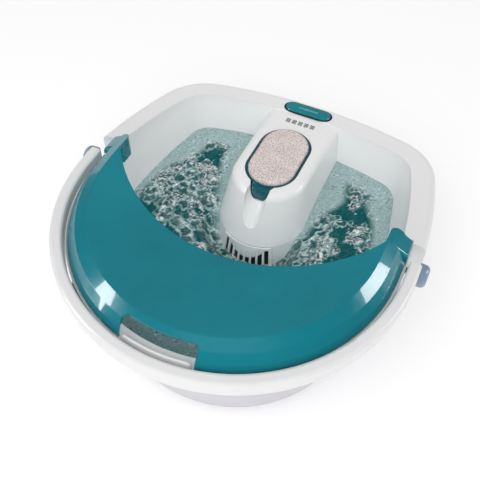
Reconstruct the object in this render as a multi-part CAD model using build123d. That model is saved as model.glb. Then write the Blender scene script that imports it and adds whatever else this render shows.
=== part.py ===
"""Foot spa basin: a white tub with a centre island, a drop-in translucent splash guard over the toe end,
a carry handle that folds down round the front rim, a pumice stone in a lift-out holder, a toe-touch power
button, and the blower, heater and board that make the bubbles and keep the water warm.

Frame, in millimetres: +Z up, +Y towards the power button end, -Y towards the splash guard.
The origin is on the table, under the centre of the whole object's box.
"""

from build123d import *
from math import atan2, cos, degrees, hypot, radians, sin, sqrt, tan
import os

# ---------------------------------------------------------------- driving dimensions
LENGTH = 423.0  # folded handle's front to the rear rim
HANDLE_TOP = 165.0  # top of the folded handle above the table
FRONT_R = 195.0  # the round front end, which is the outside of the folded handle
CORNER_R = 71.0  # rear corners of the rim
CORNER_C = (107.0, 127.0)  # centre of the right-hand rear corner
SIDE_R = 620.0  # the long, slightly crowned sides
WALL = 3.0  # moulded wall
FIT = 0.3  # slack between pieces that drop into each other

REAR_Y = LENGTH / 2
FRONT_C = (0.0, FRONT_R - LENGTH / 2)  # centre of the round front end

# Insets are measured inwards from the outline of the whole object.
HANDLE_W = 13.0
HANDLE_H = 22.0
RIM_INSET = 14.6  # front rim, inside the folded handle
LIP_INSET = 15.9  # inside of the low lip that locates the splash guard
GUARD_INSET = 17.0  # outer edge of the splash guard
CREST_INSET = 40.0  # the ridge that runs round the splash guard
MOUTH_INSET = 29.5  # edge of the basin at the top
FLOOR_INSET = 57.0  # edge of the basin at its floor
COVER_INSET = 57.4  # edge of the bottom cover

RIM_FRONT_Z = 153.0  # rim under the splash guard
RIM_PEAK_Z = 165.0  # rim just behind the splash guard
RIM_REAR_Z = 139.5  # rim behind the power button
LIP_Z = 155.0
SKIRT_Z = 115.0  # lower edge of the wide rear rim
FRONT_SKIRT_Z = 138.0
FLOOR_Z = 36.0
LUG_GAP_Y = 26.5  # the wide rear rim starts here, just behind the handle's pivots
POCKET_Y = 31.0  # the splash guard's horns end just ahead of here

PIVOT_Y, PIVOT_Z = 5.0, 148.0
LUG_R = 17.0
LUG_IN, LUG_OUT = 182.2, 196.0
PIN_R, BOSS_R = 3.5, 8.0
CAP_SEAT, CAP_OUT, CAP_R = 192.6, 203.5, 12.2

GUARD_T = 2.5
GUARD_Z = RIM_FRONT_Z  # the guard stands on the rim
CREST_Z = 180.0
DISH_R = 1133.0  # the hollow of the guard's main panel
INNER_C, INNER_R = (0.0, 110.0), 186.0  # the guard's crescent-shaped inner edge
HORN_X = 154.0
HORN_FRONT_Y, HORN_Y = 6.0, 30.6
HORN_INSET, HORN_TOP_INSET = 16.3, 46.0
HORN_CORNER_R = 10.0

ISLAND = ((58.0, 0.0, 30.0), (53.0, 8.0, 88.0), (43.0, 33.0, 149.5))  # half width, nose, height
CROWN_Z, CROWN_Y, CROWN_R = 148.5, 80.0, 900.0  # crowned top of the island
NOSE_Y = 45.0  # the grille's bars fan out from here
GRILLE_LOW, GRILLE_HIGH = 43.0, 87.0
GRILLE_DEEP = 1.5
GRILLE_SPREAD = radians(45)
GRILLE_SLOTS, GRILLE_SLOT, GRILLE_PITCH = 8, 5.0, 10.4
STONE_Y = 97.0
STONE_W, STONE_L, STONE_H = 56.0, 94.0, 19.5
HOLDER_W, HOLDER_L, HOLDER_H = 60.0, 98.0, 17.5
HOLDER_Z = 130.0
POCKET_W, POCKET_L = 62.4, 100.4
TAB_H = 15.0
GROOVE_R = 12.5

BUTTON_Y = 190.0
BUTTON_L, BUTTON_W = 58.0, 18.4

BAY_X = 97.0  # middle of each foot bay
STRIP_Y, STRIP_L, STRIP_W, STRIP_H = 20.0, 150.0, 16.0, 6.0
BUMP_R, BUMP_H = 6.0, 3.5

BLOWER_Y = 112.0
BLOWER_R = 40.0
INTAKE_R, INTAKE_SLOT = 26.0, 3.2
FAN_BLADES = 20
FEET = [(-88.0, -92.0), (88.0, -92.0), (-92.0, 116.0), (92.0, 116.0)]
SCREWS = [(-100.0, -60.0), (100.0, -60.0), (-112.0, 60.0), (112.0, 60.0), (-58.0, 140.0), (58.0, 140.0)]
COVER_Z = 5.0
GLAND_X, GLAND_Z = 62.0, 22.0

os.makedirs("parts", exist_ok=True)


# ---------------------------------------------------------------- outline of the object in plan
def rear_circle():
    """Centre and radius of the rear arc that touches both corner circles from outside."""
    drop = REAR_Y - CORNER_C[1]
    r = (CORNER_C[0] ** 2 + drop**2 - CORNER_R**2) / (2 * (drop - CORNER_R))
    return (0.0, REAR_Y - r), r


def side_centre(corner):
    """Centre of the side arc that touches the front circle and the corner circle from outside."""
    a, b = SIDE_R - FRONT_R, SIDE_R - CORNER_R
    dx, dy = corner[0] - FRONT_C[0], corner[1] - FRONT_C[1]
    d = hypot(dx, dy)
    along = (a**2 - b**2 + d**2) / (2 * d)
    off = sqrt(a**2 - along**2)
    return (
        FRONT_C[0] + (dx * along - dy * off) / d,
        FRONT_C[1] + (dy * along + dx * off) / d,
    )


REAR_C, REAR_R = rear_circle()
SIDE_C = side_centre(CORNER_C)


def on_arc(centre, r, angle):
    return (centre[0] + r * cos(angle), centre[1] + r * sin(angle))


def outline(inset, z=0.0):
    """The object's outline moved inwards, as a face of six tangent arcs at height z."""
    to_side = atan2(FRONT_C[1] - SIDE_C[1], FRONT_C[0] - SIDE_C[0])
    to_corner = atan2(CORNER_C[1] - SIDE_C[1], CORNER_C[0] - SIDE_C[0])
    to_rear = atan2(CORNER_C[1] - REAR_C[1], CORNER_C[0] - REAR_C[0])
    side, corner, rear = SIDE_R - inset, CORNER_R - inset, REAR_R - inset
    front_p = (0.0, FRONT_C[1] - (FRONT_R - inset))
    p1 = on_arc(SIDE_C, side, to_side)
    m1 = on_arc(SIDE_C, side, (to_side + to_corner) / 2)
    p2 = on_arc(SIDE_C, side, to_corner)
    m2 = on_arc(CORNER_C, corner, (to_corner + to_rear) / 2)
    p3 = on_arc(REAR_C, rear, to_rear)
    rear_p = (0.0, REAR_Y - inset)

    def left(p):
        return (-p[0], p[1])

    edges = [
        ThreePointArc(left(p1), front_p, p1),
        ThreePointArc(p1, m1, p2),
        ThreePointArc(p2, m2, p3),
        ThreePointArc(p3, rear_p, left(p3)),
        ThreePointArc(left(p3), left(m2), left(p2)),
        ThreePointArc(left(p2), left(m1), left(p1)),
    ]
    return Pos(0, 0, z) * make_face(Curve() + edges)


def tier(low_inset, low_z, high_inset, high_z):
    """A closed body between two outlines."""
    return loft([outline(low_inset, low_z), outline(high_inset, high_z)], ruled=True)


def tiers(profile):
    """A stack of tiers through the given (inset, height) points."""
    body = tier(*profile[0], *profile[1])
    for low, high in zip(profile[1:], profile[2:]):
        body += tier(*low, *high)
    return body


def pill(length, width, height, z=0.0):
    """A bar with round ends, lying along X."""
    return extrude(Pos(0, 0, z) * SlotOverall(length, width), height)


def rod_x(x0, x1, r, y, z):
    """A round bar along X."""
    return Pos((x0 + x1) / 2, y, z) * Rot(0, 90, 0) * Cylinder(r, abs(x1 - x0))


def rod_y(y0, y1, r, x, z):
    """A round bar along Y."""
    return Pos(x, (y0 + y1) / 2, z) * Rot(90, 0, 0) * Cylinder(r, abs(y1 - y0))


def post(x, y, r, z0, z1):
    """A round bar along Z."""
    return Pos(x, y, (z0 + z1) / 2) * Cylinder(r, z1 - z0)


def pair(shape):
    """A shape and its mirror image across the middle."""
    return [shape, mirror(shape, Plane.YZ)]


def box_between(low, high):
    size = [b - a for a, b in zip(low, high)]
    mid = [(a + b) / 2 for a, b in zip(low, high)]
    return Pos(*mid) * Box(*size)


def above_rear_rim(drop=0.0):
    """Everything above the sloping rear rim, moved down by drop."""
    fall = atan2(RIM_PEAK_Z - RIM_REAR_Z, REAR_Y - POCKET_Y)
    block = Pos(0, 0, 150) * Box(1200, 1200, 300)
    return Pos(0, POCKET_Y, RIM_PEAK_Z - drop) * Rot(-degrees(fall), 0, 0) * block


def above_front_rim(z):
    return box_between((-300, -300, z), (300, POCKET_Y, 400))


RIM_FALL = degrees(atan2(RIM_PEAK_Z - RIM_REAR_Z, REAR_Y - POCKET_Y))
BUTTON_Z = RIM_PEAK_Z - (BUTTON_Y - POCKET_Y) * tan(radians(RIM_FALL))
ON_RIM = Pos(0, BUTTON_Y, BUTTON_Z) * Rot(-RIM_FALL, 0, 0)  # the sloping rim, at the power button


# ---------------------------------------------------------------- island in the middle of the basin
def island_plan(half, front_y, z):
    """A tongue with a round front end, running out through the rear wall."""
    tongue = Pos(0, front_y + half) * Circle(half)
    tongue += Pos(0, (front_y + half + 205.0) / 2) * Rectangle(2 * half, 205.0 - front_y - half)
    return Pos(0, 0, z) * tongue


def island_layer(low, high, grow):
    (h0, f0, z0), (h1, f1, z1) = low, high
    return loft([island_plan(h0 + grow, f0 - grow, z0), island_plan(h1 + grow, f1 - grow, z1)])


def crown_cut(drop=0.0):
    """Everything above the island's crowned top, moved down by drop."""
    drum = Pos(0, CROWN_Y, CROWN_Z - drop - CROWN_R) * Rot(0, 90, 0) * Cylinder(CROWN_R, 200)
    return box_between((-90, -60, 120), (90, 240, 220)) - drum


def island(grow=0.0):
    """The island's body, made thicker or thinner all round by grow."""
    body = island_layer(ISLAND[0], ISLAND[1], grow) + island_layer(ISLAND[1], ISLAND[2], grow)
    return body - crown_cut(-grow)


def nose_ring(inner, outer, low_z, high_z, half_angle):
    """A curved plate that follows the island's nose, between two offsets from it."""
    ring = island_layer(ISLAND[0], ISLAND[1], outer) - island_layer(ISLAND[0], ISLAND[1], inner)
    reach = 200.0
    spread = reach * tan(half_angle)
    fan = Pos(0, NOSE_Y, 0) * Polygon((0, 0), (-spread, -reach), (spread, -reach), align=None)
    return ring & extrude(Pos(0, 0, low_z) * fan, high_z - low_z)


def finger_groove():
    """A scoop down the island's nose, so that a finger can lift the holder's tab."""
    start, end = Vector(0, 50, 158), Vector(0, 11.5, 119)
    axis = end - start
    from_start = (Align.CENTER, Align.CENTER, Align.MIN)
    bar = Plane(origin=start, z_dir=axis) * Cylinder(GROOVE_R, axis.length, align=from_start)
    return bar + Pos(*start) * Sphere(GROOVE_R) + Pos(*end) * Sphere(GROOVE_R)


def stone_plan(length, width, z, height):
    """A bar with round ends along Y, where the stone stands."""
    return Pos(0, STONE_Y, z) * Rot(0, 0, 90) * pill(length, width, height)


def tab_plan(grow, z, height):
    """The holder's thumb tab in plan, tapering forwards."""
    y0, y1 = STONE_Y - HOLDER_L / 2 + 8, STONE_Y - HOLDER_L / 2 - 7
    tab = Polygon((-16, y0), (16, y0), (9, y1), (-9, y1), align=None)
    tab = fillet(tab.vertices().group_by(Axis.Y)[0], 4)
    if grow:
        tab = offset(tab, grow)
    return extrude(Pos(0, 0, z) * tab, height, dir=(0, 0, 1))


# ---------------------------------------------------------------- tub
def tapered_basin(grow):
    """The basin's inside, grown outwards and downwards by grow, up past the rim."""
    slope = (FLOOR_INSET - MOUTH_INSET) / (RIM_FRONT_Z - FLOOR_Z)
    over = 25.0
    top = MOUTH_INSET - slope * over
    return tier(FLOOR_INSET - grow, FLOOR_Z - grow, top - grow, RIM_FRONT_Z + over)


def rear_half(y0, z0=0.0):
    return box_between((-300, y0, z0), (300, 300, 400))


def front_half(y1, z0=0.0):
    return box_between((-300, -300, z0), (300, y1, 400))


def rim_roll(inset, drop, r):
    """The outline's full height under the sloping rim plane, with its top edge rounded off."""
    solid = tier(1.5 + inset, SKIRT_Z, inset, 230.0) - above_rear_rim(drop)
    return fillet(solid.faces().sort_by(Axis.Z)[-1].outer_wire().edges(), r)


def rear_rim():
    """The wide, rounded rim behind the handle's pivots, as a hollow roll open underneath."""
    solid = rim_roll(0.0, 0.0, 9) & rear_half(LUG_GAP_Y)
    void = rim_roll(WALL, WALL, 6) & rear_half(LUG_GAP_Y + WALL)
    outside = solid - box_between((-300, 0, 0), (300, 300, SKIRT_Z + 0.01))
    pocket = tiers([(LIP_INSET, RIM_FRONT_Z), (LIP_INSET, 230.0)]) & front_half(POCKET_Y)
    wall_inset = LIP_INSET - WALL
    walls = tiers([(wall_inset, RIM_FRONT_Z - WALL), (wall_inset, 230.0)]) & front_half(POCKET_Y + WALL)
    beside_housing = tiers([(i - 0.5, z) for i, z in HOUSING]) & rear_half(LUG_GAP_Y - 1)
    beside_housing &= front_half(LUG_GAP_Y + WALL + 0.5)
    return outside - (void - walls) - pocket - beside_housing


def front_rim():
    """The narrow rim inside the folded handle: a flat land, a low lip outside it and a short skirt."""
    solid = tiers([(RIM_INSET, FRONT_SKIRT_Z), (RIM_INSET, LIP_Z)])
    solid -= tier(LIP_INSET, RIM_FRONT_Z, LIP_INSET, LIP_Z + 1)
    solid -= tier(RIM_INSET + WALL, FRONT_SKIRT_Z - 1, RIM_INSET + WALL, RIM_FRONT_Z - WALL)
    return solid & front_half(POCKET_Y)


def handle_ledge():
    """A ledge round the front that the folded handle's inner wall rests on."""
    z = HANDLE_TOP - HANDLE_H
    ring = tier(HANDLE_W - 4.5, z - 3.0, HANDLE_W - 4.5, z) - tier(RIM_INSET + 1, z - 4, RIM_INSET + 1, z + 1)
    return ring & box_between((-120, -300, 0), (120, -60, 300))


def pour_lip():
    """The raised lip at the front centre, in the splash guard's notch."""
    ring = tier(GUARD_INSET - 0.6, RIM_FRONT_Z - 1, GUARD_INSET + 0.6, 161.0)
    ring -= tier(GUARD_INSET + 2.6, RIM_FRONT_Z - 2, GUARD_INSET + 3.0, 162.0)
    face = Pos(0, -100, RIM_FRONT_Z - 4) * Rot(90, 0, 0) * extrude(RectangleRounded(74, 24, 6), 200)
    return ring & face


def bump_places():
    return [(BAY_X + dx, STRIP_Y + dy) for dx in (-21.0, 21.0) for dy in (-66, -44, -22, 0, 22, 44, 66)]


def bumps():
    """Massage bumps in both bays, on each side of the bubble strips."""
    r = (BUMP_R**2 + BUMP_H**2) / (2 * BUMP_H)
    dome = Pos(0, 0, FLOOR_Z + BUMP_H - r) * Sphere(r) & Pos(0, 0, FLOOR_Z + 5) * Box(30, 30, 11)
    return [Pos(side * x, y, 0) * dome for side in (-1, 1) for x, y in bump_places()]


def tub_shell():
    flange = rear_rim() + front_rim()
    basin = tapered_basin(WALL) - above_rear_rim() - above_front_rim(RIM_FRONT_Z)
    shell = flange + basin

    cavity = fillet(tapered_basin(0).edges().group_by(Axis.Z)[0], 12)
    ridge = island()
    top = [e for e in ridge.edges() if e.center().Z > 140 and e.center().Y < 204]
    ridge = fillet(top, 11)
    hollow = (island(-WALL) & box_between((-100, -60, 0), (100, 204, 400))) - above_rear_rim(WALL)
    floor_z = HOLDER_Z - FIT - WALL
    pocket_block = stone_plan(POCKET_L + 6, POCKET_W + 6, floor_z, 20.0) + tab_plan(4.0, floor_z, 16.0)
    shell -= cavity - ridge
    shell += (ridge & tapered_basin(WALL)) - above_rear_rim()
    groove = finger_groove()
    groove_skin = (Pos(0, -0.5, -WALL) * groove) & island(-WALL + 0.5)
    shell -= hollow - pocket_block - groove_skin
    shell -= stone_plan(POCKET_L, POCKET_W, HOLDER_Z - FIT, 60.0)
    shell -= tab_plan(1.0, HOLDER_Z - FIT, 60.0)
    shell -= groove
    shell -= nose_ring(-GRILLE_DEEP, 5.0, GRILLE_LOW, GRILLE_HIGH, GRILLE_SPREAD + radians(1))

    shell += pour_lip()
    shell += handle_ledge()
    boss = rod_x(165.0, LUG_IN - 1.8, BOSS_R, PIVOT_Y, PIVOT_Z)
    shell += pair(boss - box_between((0, -50, RIM_FRONT_Z), (300, 50, 300)))
    shell -= pair(rod_x(160.0, 200.0, PIN_R, PIVOT_Y, PIVOT_Z))
    shell -= ON_RIM * pill(BUTTON_L + 2.8, BUTTON_W + 2.8, 12, -8)
    shell += bumps()
    for x, y in SCREWS:
        shell += post(x, y, 6, COVER_Z + WALL, FLOOR_Z - 1)
        shell -= post(x, y, 1.7, COVER_Z, FLOOR_Z - 4)
    for x, y in board_corners():
        shell += post(x, y, 3.5, BOARD_Z + 1.6, HOLDER_Z - 2)
        shell -= post(x, y, 1.3, BOARD_Z, 120)
    shell -= [post(side * BAY_X, STRIP_Y, 5.2, FLOOR_Z - WALL - 1, FLOOR_Z + 1) for side in (-1, 1)]
    return shell


# ---------------------------------------------------------------- housing and cover
HOUSING = [(55.0, 6.0), (53.0, 7.4), (52.0, 10.5), (44.0, 48.0), (36.0, 90.0), (27.4, 128.0), (22.4, 149.6)]
HOUSING_IN = [(57.1, 5.9), (55.2, 12.0), (47.0, 48.0), (39.0, 90.0), (30.2, 128.0), (25.2, 149.7)]
REAR_WALL_Y = REAR_Y - 49.0


def outer_housing():
    """The side wall, with an inward flange at the foot that the cover clamps."""
    wall = tiers(HOUSING) - tiers(HOUSING_IN)
    wall += tier(56.0, 8.3, 55.0, 11.3) - tier(65.0, 8.0, 65.0, 12.0)
    wall -= above_rear_rim(WALL + 0.4)
    wall -= box_between((-44, 100, SKIRT_Z + 0.4), (44, 300, 300))
    wall -= pair(rod_x(150, 200, 9.0, PIVOT_Y, PIVOT_Z))
    wall -= rod_y(REAR_Y - 70, REAR_Y, 6.0, GLAND_X, GLAND_Z)
    wall -= [post(x, y, 6.8, 0, 30) for x, y in SCREWS]
    return wall


def bottom_cover():
    """The flat cover with its air intake slots, screw holes and sockets for the feet."""
    plate = tier(COVER_INSET, COVER_Z, COVER_INSET, COVER_Z + WALL)
    ring = post(0, BLOWER_Y, 31, COVER_Z + WALL, 12) - post(0, BLOWER_Y, 29, COVER_Z + WALL, 12.5)
    plate += ring
    for dy in range(-20, 21, 8):
        half = sqrt(INTAKE_R**2 - dy**2)
        plate -= Pos(0, BLOWER_Y + dy, COVER_Z) * pill(2 * half, INTAKE_SLOT, WALL)
    for x, y in SCREWS:
        plate -= post(x, y, 2.2, 0, 10)
        plate -= post(x, y, 4.2, 0, COVER_Z + 1.4)
    plate -= [post(x, y, 4.0, 0, 20) for x, y in FEET]
    return plate


def rubber_feet():
    pad = fillet(post(0, 0, 11, 0, COVER_Z).edges().group_by(Axis.Z)[0], 1.2)
    pad += post(0, 0, 4.0, COVER_Z, COVER_Z + WALL)
    pad += post(0, 0, 5.5, COVER_Z + WALL, COVER_Z + WALL + 2)
    return Compound([Pos(x, y, 0) * pad for x, y in FEET])


def screw(head_r, head_h, shank_r, length):
    """A pan-head screw standing head down, its head's top on z = 0."""
    body = post(0, 0, head_r, 0, head_h) + post(0, 0, shank_r, head_h, length)
    body -= Pos(0, 0, 0.5) * Box(head_r * 1.2, 0.9, 1.2)
    body -= Pos(0, 0, 0.5) * Box(0.9, head_r * 1.2, 1.2)
    return body


def cover_screws():
    one = screw(4.0, 1.4, 1.7, 20.0)
    return Compound([Pos(x, y, COVER_Z) * one for x, y in SCREWS])


# ---------------------------------------------------------------- carry handle
def handle():
    """A channel-section bow round the front, with a round lug at each end."""
    low, top = HANDLE_TOP - HANDLE_H, HANDLE_TOP
    bow = tiers([(1.6, low), (0.0, low + 12), (0.0, top)])
    bow -= tier(HANDLE_W, low - 1, HANDLE_W, top + 1)
    bow &= front_half(PIVOT_Y)
    edges = [e for e in bow.edges().group_by(Axis.Z)[-1] if e.center().Y < PIVOT_Y - 1]
    outer = [e for e in edges if e.length > 100]
    bow = fillet(outer, 3.6)
    groove = tiers([(1.6 + 2.5, low - 1), (2.5, low + 12), (2.5, top - 2.8)])
    groove -= tier(HANDLE_W - 2.5, low - 2, HANDLE_W - 2.5, top)
    bow -= groove & front_half(PIVOT_Y - LUG_R)
    bow -= box_between((-LUG_IN, PIVOT_Y - 30, 0), (LUG_IN, 60, 300))
    half = bow & box_between((-300, -300, 0), (0, 300, 300))
    lug = rod_x(-LUG_IN, -LUG_OUT, LUG_R, PIVOT_Y, PIVOT_Z)
    half += fillet(lug.edges().sort_by(Axis.X)[:1], 2.5)
    half -= rod_x(-170, -210, PIN_R + FIT, PIVOT_Y, PIVOT_Z)
    half -= rod_x(-188.6, -210, 7.0, PIVOT_Y, PIVOT_Z)
    half -= rod_x(-CAP_SEAT, -210, CAP_R + 0.2, PIVOT_Y, PIVOT_Z)
    return half + mirror(half, Plane.YZ)


def pivot_pin():
    """A shoulder pin pressed into the tub's boss, with its head in the lug."""
    pin = rod_x(168.0, 189.0, PIN_R, PIVOT_Y, PIVOT_Z) + rod_x(189.0, 192.0, 6.4, PIVOT_Y, PIVOT_Z)
    return chamfer(pin.edges().sort_by(Axis.X)[-1:], 0.8)


def pivot_cap():
    """A domed cap that snaps into the lug."""
    cap = rod_x(CAP_SEAT, CAP_OUT, CAP_R, PIVOT_Y, PIVOT_Z)
    cap = fillet(cap.edges().sort_by(Axis.X)[-1:], 5.5)
    return cap - rod_x(180.0, 195.0, 7.4, PIVOT_Y, PIVOT_Z)


# ---------------------------------------------------------------- splash guard
GUARD = [(17.0, GUARD_Z), (17.0, 157.0), (20.5, 164.5), (27.5, 173.0), (CREST_INSET, CREST_Z + 0.6)]


def dish(drop=0.0):
    """The big ball whose underside hollows the guard's main panel."""
    low = CREST_Z - (FRONT_R - CREST_INSET) ** 2 / (2 * DISH_R)
    return Pos(0, FRONT_C[1], low - drop + DISH_R) * Sphere(DISH_R)


def guard_plan(grow=0.0):
    """What is left open inside the crescent, as a prism."""
    hole = Pos(*INNER_C) * Circle(INNER_R - grow) & Pos(0, 150) * Rectangle(2 * (HORN_X - grow), 700)
    return extrude(Pos(0, 0, 100) * hole, 150)


def horn_plan(grow):
    """What the right-hand horn covers in plan, as a prism, with its free corner rounded."""
    x0, x1 = HORN_X + 0.1 + grow, 220.0
    y0, y1 = HORN_FRONT_Y + grow, HORN_Y - grow
    plan = Pos((x0 + x1) / 2, (y0 + y1) / 2) * Rectangle(x1 - x0, y1 - y0)
    corner = plan.vertices().sort_by(Axis.X)[:2].sort_by(Axis.Y)[-1]
    return extrude(Pos(0, 0, 100) * fillet(corner, HORN_CORNER_R - grow), 150)


def guard_body(grow):
    """The guard as a solid, made smaller all round by grow."""
    profile = [(i + grow, z - (grow if z > 170 else 0)) for i, z in GUARD]
    body = tiers(profile) - dish(grow)
    slant = [(HORN_INSET, GUARD_Z), (HORN_INSET, 166.5), (HORN_TOP_INSET, CREST_Z + 4.0)]
    horn = tiers([(i + grow, z - (grow if z > 170 else 0)) for i, z in slant])
    reach = horn_plan(grow)
    horn &= reach
    edges = [e for e in horn.edges() if e.center().Z > 166 - grow]
    horn = fillet(edges, 3.2 - grow / 2)
    body &= front_half(HORN_FRONT_Y + 4.0) + reach + mirror(reach, Plane.YZ)
    return body, horn + mirror(horn, Plane.YZ)


def splash_guard():
    """A crescent shell with a ridge, a front notch and two raised horns that seat behind the rim."""
    outer, horn = guard_body(0.0)
    inner, horn_in = guard_body(GUARD_T)
    inner &= front_half(8.0)
    shell = (outer - inner) - guard_plan()
    shell += horn
    shell -= horn_in
    shell -= tier(GUARD_INSET + GUARD_T, GUARD_Z - 1, GUARD_INSET + GUARD_T, GUARD_Z + 1) & front_half(8.0)
    notch = tier(10.0, 150.0, 10.0, 200.0) - tier(33.0, 149.0, 33.0, 201.0)
    notch &= box_between((-40, -300, 0), (40, -100, 300))
    notch = fillet([e for e in notch.edges().filter_by(Axis.Z) if e.center().Y > -184], 6)
    return shell - notch


# ---------------------------------------------------------------- power button
def power_button():
    """A long pill of a button with a retaining flange and a stem over the switch."""
    body = pill(BUTTON_L, BUTTON_W, 8.2, -6.0)
    body = fillet(body.edges().group_by(Axis.Z)[-1], 1.6)
    body += pill(BUTTON_L + 2.4, BUTTON_W + 2.4, 2.0, -8.0)
    body += post(0, 0, 3.0, -10.0, -8.0)
    body -= Pos(0, 0, 1.8) * pill(26.0, 2.4, 2.0)
    return ON_RIM * body


def button_window():
    return ON_RIM * (Pos(0, 0, 1.8) * pill(26.0, 2.4, 0.5))


def button_bezel():
    """A soft ring that lines the hole in the rim."""
    ring = pill(BUTTON_L + 4.4, BUTTON_W + 4.4, 0.7, 0.0) + pill(BUTTON_L + 2.6, BUTTON_W + 2.6, 5.4, -5.4)
    ring -= pill(BUTTON_L + 0.6, BUTTON_W + 0.6, 10, -7)
    return ON_RIM * ring


def switch_bracket():
    """A shelf that hangs under the rim and carries the switch."""
    shelf = Pos(0, 0, -23.0) * Box(30, 14, 2)
    for side in (-1, 1):
        shelf += Pos(side * 37.5, 0, -12.5) * Box(3, 10, 19)
        shelf += Pos(side * 26.0, 0, -23.0) * Box(26, 10, 2)
    return ON_RIM * shelf


def power_switch():
    body = Pos(0, 0, -18.0) * Box(14, 10, 8)
    body -= post(0, 0, 1.7, -18.0, -13.0)
    body += [Pos(x, 0, -21.9) * Box(1.2, 3, 0.2) for x in (-4, 4)]
    return ON_RIM * body


def switch_plunger():
    return ON_RIM * post(0, 0, 1.4, -14.6, -10.0)


# ---------------------------------------------------------------- pumice stone
def pumice_holder():
    """A shallow cup for the stone with a thumb tab at the front."""
    cup = stone_plan(HOLDER_L, HOLDER_W, HOLDER_Z, HOLDER_H)
    cup = fillet(cup.edges().group_by(Axis.Z)[0], 3)
    tab = tab_plan(0.0, HOLDER_Z + 1.0, TAB_H)
    tab = fillet(tab.edges().group_by(Axis.Z)[-1], 1.5)
    cup += tab
    return cup - stone_plan(STONE_L, STONE_W, HOLDER_Z + 2.0, 40.0)


def pumice_stone():
    stone = stone_plan(STONE_L - 0.8, STONE_W - 0.8, HOLDER_Z + 2.0, STONE_H)
    return fillet(stone.edges().group_by(Axis.Z)[-1], 3.5)


# ---------------------------------------------------------------- nose grille and bubble strips
def grille_backing():
    return nose_ring(0.1 - GRILLE_DEEP, -0.1, GRILLE_LOW + 0.4, GRILLE_HIGH - 0.4, GRILLE_SPREAD)


def nose_grille():
    """Upright bars round the island's nose, over the dark backing."""
    plate = nose_ring(-0.1, 1.6, GRILLE_LOW + 0.4, GRILLE_HIGH - 0.4, GRILLE_SPREAD)
    slot = Pos(0, -60, (GRILLE_LOW + GRILLE_HIGH) / 2) * Box(GRILLE_SLOT, 40, GRILLE_HIGH - GRILLE_LOW - 8)
    for step in range(GRILLE_SLOTS):
        angle = (step - (GRILLE_SLOTS - 1) / 2) * GRILLE_PITCH
        plate -= Pos(0, NOSE_Y, 0) * Rot(0, 0, angle) * slot
    return plate


def bubble_strip(side):
    """A low hollow bar on the bay's floor with a row of air holes and a nipple through the floor."""
    bar = Rot(0, 0, 90) * pill(STRIP_L, STRIP_W, STRIP_H)
    bar = fillet(bar.edges().group_by(Axis.Z)[-1], 2.5)
    bar -= Rot(0, 0, 90) * pill(STRIP_L - 5, STRIP_W - 5, STRIP_H - 2.2)
    bar += post(0, 0, 5.0, -8, 0) - post(0, 0, 3.5, -15, 1)
    bar += (Rot(0, 0, 90) * pill(STRIP_L - 4, STRIP_W - 4, 1.2)) - post(0, 0, 3.5, -1, 2)
    for step in range(-8, 9):
        for dx in (-3.2, 3.2):
            bar -= post(dx, step * 8.0, 0.8, 2, 10)
    return Pos(side * BAY_X, STRIP_Y, FLOOR_Z) * bar


# ---------------------------------------------------------------- air path
MANIFOLD_Y, MANIFOLD_Z = STRIP_Y, 17.0
DUCT_X, DUCT_Z = 30.0, 22.0


def scroll_plan(grow):
    """The blower's case in plan: a round drum and a straight outlet to the front."""
    drum = Pos(0, BLOWER_Y) * Circle(BLOWER_R + grow)
    outlet = Pos(DUCT_X, (BLOWER_Y + 62) / 2) * Rectangle(20 + 2 * grow, BLOWER_Y - 62)
    return drum + outlet


def blower_scroll():
    """The lower half of the blower's case, open at the bottom for the intake."""
    case = extrude(Pos(0, 0, 12.2) * scroll_plan(0), 27.8)
    case -= extrude(Pos(0, 0, 14.2) * scroll_plan(-2), 30)
    case -= post(0, BLOWER_Y, 20, 10, 16)
    case -= rod_y(50, 66, 7.0, DUCT_X, DUCT_Z)
    return case


def blower_lid():
    lid = extrude(Pos(0, 0, 40.0) * scroll_plan(0), 2.5)
    lid += extrude(Pos(0, 0, 38.6) * scroll_plan(-2.3), 1.4) - extrude(Pos(0, 0, 38) * scroll_plan(-4.3), 2.0)
    lid -= post(0, BLOWER_Y, 6, 30, 50)
    lid -= [post(x, y, 2.2, 30, 50) for x, y in motor_feet()]
    return lid


def motor_feet():
    return [(24 * cos(radians(a)), BLOWER_Y + 24 * sin(radians(a))) for a in (30, 150, 270)]


def motor_mounts():
    """Soft grommets between the motor's ears and the blower's lid."""
    ring = post(0, 0, 4.5, 42.5, 46.5) + post(0, 0, 2.2, 40.0, 42.5) - post(0, 0, 1.2, 39, 50)
    return Compound([Pos(x, y, 0) * ring for x, y in motor_feet()])


def blower_motor():
    can = post(0, BLOWER_Y, 18, 46.5, 82)
    can = fillet(can.edges().group_by(Axis.Z)[-1], 3)
    can += post(0, BLOWER_Y, 5.5, 82, 85)
    can += [post(x, y, 5.0, 46.5, 48.5) for x, y in motor_feet()]
    can -= post(0, BLOWER_Y, 2.4, 40, 84)
    can -= [post(x, y, 1.2, 40, 50) for x, y in motor_feet()]
    can += [Pos(side * 9, BLOWER_Y, 86) * Box(1, 4, 8.2) for side in (-1, 1)]
    return can


def motor_shaft():
    return post(0, BLOWER_Y, 2.0, 18, 83)


def impeller():
    """A fan with a back plate, a hub on the shaft and forward-standing blades."""
    wheel = post(0, 0, 33, 33.5, 35.5) + post(0, 0, 6, 20, 35.5)
    blade = Pos(26, 0, 26) * Rot(0, 0, 35) * Box(12, 1.2, 16)
    wheel += [Rot(0, 0, i * 360 / FAN_BLADES) * blade for i in range(FAN_BLADES)]
    wheel -= post(0, 0, 2.0, 10, 40)
    return Pos(0, BLOWER_Y, 0) * wheel


def intake_filter():
    return post(0, BLOWER_Y, 28.6, COVER_Z + WALL, 11.8)


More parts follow.
